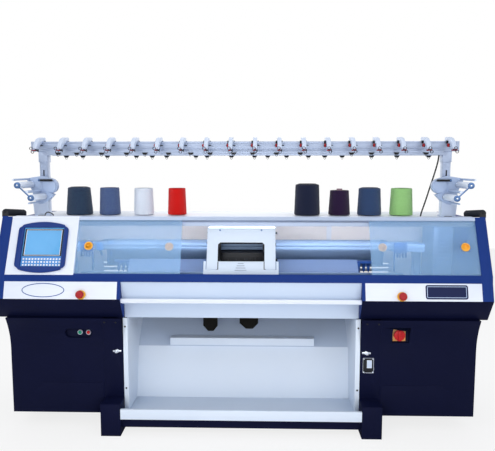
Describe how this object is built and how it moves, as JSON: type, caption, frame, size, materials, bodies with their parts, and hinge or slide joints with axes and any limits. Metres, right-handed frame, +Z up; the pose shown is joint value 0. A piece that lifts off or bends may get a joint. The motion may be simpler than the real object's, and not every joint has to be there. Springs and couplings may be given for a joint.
{
  "type": "flat knitting machine",
  "caption": "Computerised flat knitting machine with V needle beds, a carriage under sliding windows, an open cloth bay, and a yarn stand with a tension beam above.",
  "frame": {"origin": "on the floor, under the middle of the overall box", "axes": "+X to the operator's right along the needle beds, +Y from the operator's side towards the back, +Z up"},
  "size_m": [2.76, 0.9046, 1.695],
  "materials": {
    "navy_paint": "textured semi-gloss paint",
    "blue_paint": "semi-gloss paint",
    "white_paint": "fine textured paint",
    "bed_steel": "ground",
    "bright_steel": "ground and polished",
    "cast_aluminium": "satin anodised",
    "black_metal": "satin",
    "feeder_metal": "satin",
    "black_rubber": "matt",
    "black_knit": "knitted",
    "blue_plastic": "satin",
    "bezel_plastic": "gloss",
    "screen": "glossy screen",
    "keypad": "membrane",
    "window": "clear tinted acrylic",
    "black_plastic": "satin",
    "pale_plastic": "satin",
    "roller_white": "satin",
    "yarn": "wound yarn",
    "cable": "matt sheath",
    "yellow_plastic": "satin",
    "red_plastic": "gloss",
    "green_plastic": "gloss",
    "tan_plastic": "satin",
    "chrome": "polished"
  },
  "bodies": {
    "machine": {"base_frame": "navy_paint", "column_covers": "navy_paint", "cabinet_left": "navy_paint", "cabinet_right": "navy_paint", "hood_end_left": "blue_paint", "hood_end_right": "blue_paint", "front_band": "blue_paint", "nose_strips": "white_paint", "apron": "white_paint", "bay_liner": "white_paint", "cloth_tray": "white_paint", "needle_bed_front": "bed_steel", "needle_bed_rear": "bed_steel", "guide_rails": "bright_steel", "rail_brackets": "cast_aluminium", "yarn_clamps": "blue_plastic", "drive_cover": "blue_paint", "knitted_pieces": "black_knit", "console_panel": "white_paint", "console_bezel": "bezel_plastic", "touch_screen": "screen", "membrane_keypad": "keypad", "top_rail": "cast_aluminium", "yarn_table": "white_paint", "rear_cover": "white_paint", "masts": "cast_aluminium", "tension_beam": "cast_aluminium", "yarn_guides": "black_plastic", "tensioner_arms": "pale_plastic", "yarn_tensioners": "red_plastic", "feed_unit_left": "pale_plastic", "feed_unit_right": "pale_plastic", "yarn_cones": "yarn", "sensor_cable": "cable", "stop_collars": "yellow_plastic", "main_switch_plate": "tan_plastic"},
    "carriage": {"carriage_cover": "white_paint", "carriage_cam_box": "black_metal"},
    "window_left_front": {"window_left_front": "window"},
    "window_left_rear": {"window_left_rear": "window"},
    "window_right_front": {"window_right_front": "window"},
    "window_right_rear": {"window_right_rear": "window"},
    "yarn_feeder_1": {"yarn_feeder_1": "feeder_metal"},
    "yarn_feeder_2": {"yarn_feeder_2": "feeder_metal"},
    "yarn_feeder_3": {"yarn_feeder_3": "feeder_metal"},
    "start_bar": {"start_bar": "white_paint"},
    "take_down_roller": {"take_down_roller": "black_rubber"},
    "stop_button_left": {"stop_button_left": "red_plastic"},
    "stop_button_right": {"stop_button_right": "red_plastic"},
    "start_button": {"start_button": "green_plastic"},
    "halt_button": {"halt_button": "red_plastic"},
    "main_switch_knob": {"main_switch_knob": "red_plastic"},
    "cover_latch_left": {"cover_latch_left": "chrome"},
    "cover_latch_right": {"cover_latch_right": "chrome"},
    "feed_roller_left_upper": {"feed_roller_left_upper": "roller_white"},
    "feed_roller_left_lower": {"feed_roller_left_lower": "roller_white"},
    "feed_roller_right_upper": {"feed_roller_right_upper": "roller_white"},
    "feed_roller_right_lower": {"feed_roller_right_lower": "roller_white"},
    "guide_roller_left": {"guide_roller_left": "black_rubber"},
    "guide_roller_right": {"guide_roller_right": "black_rubber"}
  },
  "joints": [
    {"name": "carriage_slide", "type": "slide", "parent": "machine", "child": "carriage", "axis": [1, 0, 0], "range_m": [-0.67, 0.67]},
    {"name": "window_left_front_slide", "type": "slide", "parent": "machine", "child": "window_left_front", "axis": [1, 0, 0], "range_m": [0, 0.527]},
    {"name": "window_left_rear_slide", "type": "slide", "parent": "machine", "child": "window_left_rear", "axis": [1, 0, 0], "range_m": [0, 0.527]},
    {"name": "window_right_rear_slide", "type": "slide", "parent": "machine", "child": "window_right_rear", "axis": [1, 0, 0], "range_m": [-0.527, 0]},
    {"name": "window_right_front_slide", "type": "slide", "parent": "machine", "child": "window_right_front", "axis": [1, 0, 0], "range_m": [-0.527, 0]},
    {"name": "yarn_feeder_1_slide", "type": "slide", "parent": "machine", "child": "yarn_feeder_1", "axis": [1, 0, 0], "range_m": [0, 1.75]},
    {"name": "yarn_feeder_2_slide", "type": "slide", "parent": "machine", "child": "yarn_feeder_2", "axis": [1, 0, 0], "range_m": [-0.06, 1.69]},
    {"name": "yarn_feeder_3_slide", "type": "slide", "parent": "machine", "child": "yarn_feeder_3", "axis": [1, 0, 0], "range_m": [-1.73, 0.02]},
    {"name": "start_bar_turn", "type": "hinge", "parent": "machine", "child": "start_bar", "pos_m": [0, -0.38772, 0.774], "axis": [1, 0, 0], "range_deg": [-12, 12], "stiffness_Nm_per_rad": 2},
    {"name": "take_down_roller_turn", "type": "hinge", "parent": "machine", "child": "take_down_roller", "pos_m": [0, -0.06, 0.628], "axis": [1, 0, 0], "continuous": true},
    {"name": "stop_button_left_push", "type": "slide", "parent": "machine", "child": "stop_button_left", "axis": [0, 0.9631, -0.2692], "range_m": [0, 0.005]},
    {"name": "stop_button_right_push", "type": "slide", "parent": "machine", "child": "stop_button_right", "axis": [0, 0.9631, -0.2692], "range_m": [0, 0.005]},
    {"name": "start_button_push", "type": "slide", "parent": "machine", "child": "start_button", "axis": [0, 1, 0], "range_m": [0, 0.004], "stiffness_N_per_m": 300},
    {"name": "halt_button_push", "type": "slide", "parent": "machine", "child": "halt_button", "axis": [0, 1, 0], "range_m": [0, 0.004], "stiffness_N_per_m": 300},
    {"name": "main_switch_turn", "type": "hinge", "parent": "machine", "child": "main_switch_knob", "pos_m": [0.896, -0.30572, 0.565], "axis": [0, 1, 0], "range_deg": [0, 90]},
    {"name": "cover_latch_left_turn", "type": "hinge", "parent": "machine", "child": "cover_latch_left", "pos_m": [-0.711, -0.31172, 0.462], "axis": [0, 1, 0], "range_deg": [0, 90]},
    {"name": "cover_latch_right_turn", "type": "hinge", "parent": "machine", "child": "cover_latch_right", "pos_m": [0.711, -0.31172, 0.462], "axis": [0, 1, 0], "range_deg": [-90, 0]},
    {"name": "feed_roller_left_upper_turn", "type": "hinge", "parent": "machine", "child": "feed_roller_left_upper", "pos_m": [-1.315, -0.06, 1.404], "axis": [0, 1, 0], "continuous": true},
    {"name": "feed_roller_left_lower_turn", "type": "hinge", "parent": "machine", "child": "feed_roller_left_lower", "pos_m": [-1.238, -0.06, 1.33], "axis": [0, 1, 0], "continuous": true},
    {"name": "feed_roller_right_upper_turn", "type": "hinge", "parent": "machine", "child": "feed_roller_right_upper", "pos_m": [1.315, -0.06, 1.404], "axis": [0, 1, 0], "continuous": true},
    {"name": "feed_roller_right_lower_turn", "type": "hinge", "parent": "machine", "child": "feed_roller_right_lower", "pos_m": [1.238, -0.06, 1.33], "axis": [0, 1, 0], "continuous": true},
    {"name": "guide_roller_left_turn", "type": "hinge", "parent": "machine", "child": "guide_roller_left", "pos_m": [-1.359, -0.11613, 1.23997], "axis": [0, 0.9956, -0.0932], "continuous": true},
    {"name": "guide_roller_right_turn", "type": "hinge", "parent": "machine", "child": "guide_roller_right", "pos_m": [1.359, -0.11613, 1.23997], "axis": [0, 0.9956, -0.0932], "continuous": true}
  ],
  "couplings": [
    {"joint": "feed_roller_left_lower_turn", "follows": "feed_roller_left_upper_turn", "ratio": 1},
    {"joint": "feed_roller_right_lower_turn", "follows": "feed_roller_right_upper_turn", "ratio": 1}
  ]
}
